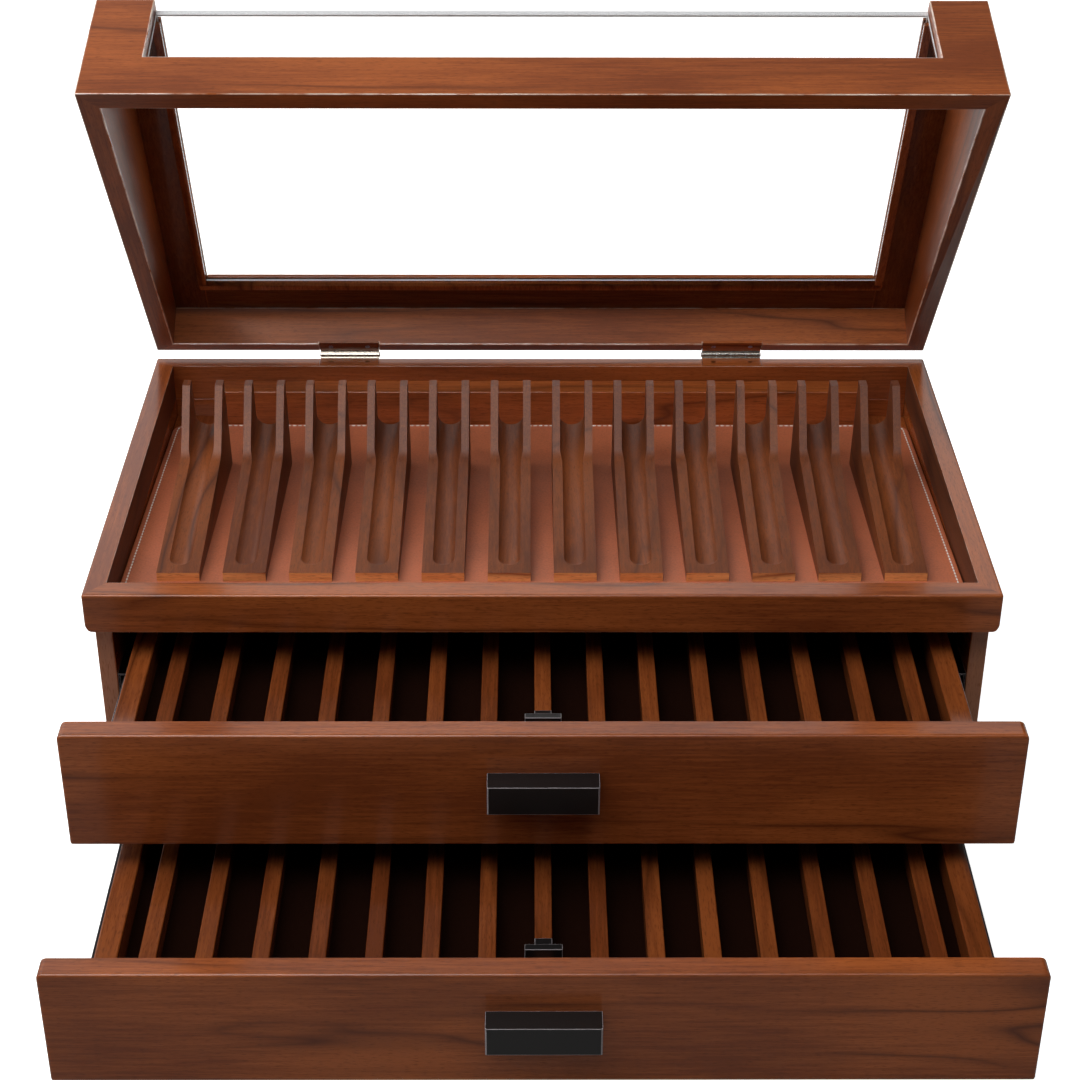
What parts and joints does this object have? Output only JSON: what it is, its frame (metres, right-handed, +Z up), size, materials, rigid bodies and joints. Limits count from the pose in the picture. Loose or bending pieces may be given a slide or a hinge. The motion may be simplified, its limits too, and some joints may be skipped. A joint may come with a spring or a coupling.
{
  "type": "pen collector chest",
  "caption": "Wooden pen chest with cradles in a leather-lined top tray, a glazed hinged lid that leans back, and drawers with pen slots on ball-bearing slides.",
  "frame": {"origin": "centre of the chest's footprint, on the surface its felt base stands on", "axes": "+X to the right seen from the front, +Y from the drawer fronts towards the hinges, +Z up"},
  "size_m": [0.42, 0.4362, 0.3711],
  "materials": {
    "walnut": "satin varnished walnut",
    "pad_leather": "fine-grained brown leather with pale stitching",
    "black_lining": "black velvet-like lining on thin board",
    "felt": "dark felt",
    "black_metal": "satin black",
    "steel": "zinc-plated steel",
    "nickel": "nickel-plated brass",
    "clear_glass": "clear flat glass"
  },
  "bodies": {
    "chest": {"side_panel_left": "walnut", "side_panel_right": "walnut", "back_panel": "walnut", "bottom_panel": "walnut", "felt_base": "felt", "rim_front": "walnut", "rim_back": "walnut", "rim_left": "walnut", "rim_right": "walnut", "tray_floor": "walnut", "tray_pad": "pad_leather", "cradle_rail": "walnut", "pen_cradle_01": "walnut", "pen_cradle_02": "walnut", "pen_cradle_03": "walnut", "pen_cradle_04": "walnut", "pen_cradle_05": "walnut", "pen_cradle_06": "walnut", "pen_cradle_07": "walnut", "pen_cradle_08": "walnut", "pen_cradle_09": "walnut", "pen_cradle_10": "walnut", "pen_cradle_11": "walnut", "pen_cradle_12": "walnut", "cabinet_slides": "steel", "hinge_leaves_rim": "nickel", "hinge_screws_rim": "nickel", "hinge_pins": "nickel"},
    "lid": {"lid_front": "walnut", "lid_left": "walnut", "lid_right": "walnut", "lid_back": "walnut", "lid_stile_left": "walnut", "lid_stile_right": "walnut", "lid_rail_back": "walnut", "glass_top": "clear_glass", "glass_front": "clear_glass", "glass_beads": "walnut", "hinge_leaves_lid": "nickel", "hinge_screws_lid": "nickel"},
    "drawer_upper": {"drawer_front_upper": "walnut", "drawer_side_upper_left": "walnut", "drawer_side_upper_right": "walnut", "drawer_back_upper": "walnut", "drawer_deck_upper": "black_lining", "pen_strips_upper": "walnut", "lift_tab_upper": "black_metal", "handle_upper": "black_metal", "handle_screws_upper": "steel", "drawer_runners_upper": "steel"},
    "drawer_lower": {"drawer_front_lower": "walnut", "drawer_side_lower_left": "walnut", "drawer_side_lower_right": "walnut", "drawer_back_lower": "walnut", "drawer_deck_lower": "black_lining", "pen_strips_lower": "walnut", "lift_tab_lower": "black_metal", "handle_lower": "black_metal", "handle_screws_lower": "steel", "drawer_runners_lower": "steel"}
  },
  "joints": [
    {"name": "lid_hinge", "type": "hinge", "parent": "chest", "child": "lid", "pos_m": [0, 0.125, 0.1502], "axis": [-1, 0, 0], "range_deg": [-54.4, 45.6]},
    {"name": "upper_drawer_slide", "type": "slide", "parent": "chest", "child": "drawer_upper", "axis": [0, -1, 0], "range_m": [-0.0762, 0.0888]},
    {"name": "lower_drawer_slide", "type": "slide", "parent": "chest", "child": "drawer_lower", "axis": [0, -1, 0], "range_m": [-0.1594, 0.0056]}
  ]
}
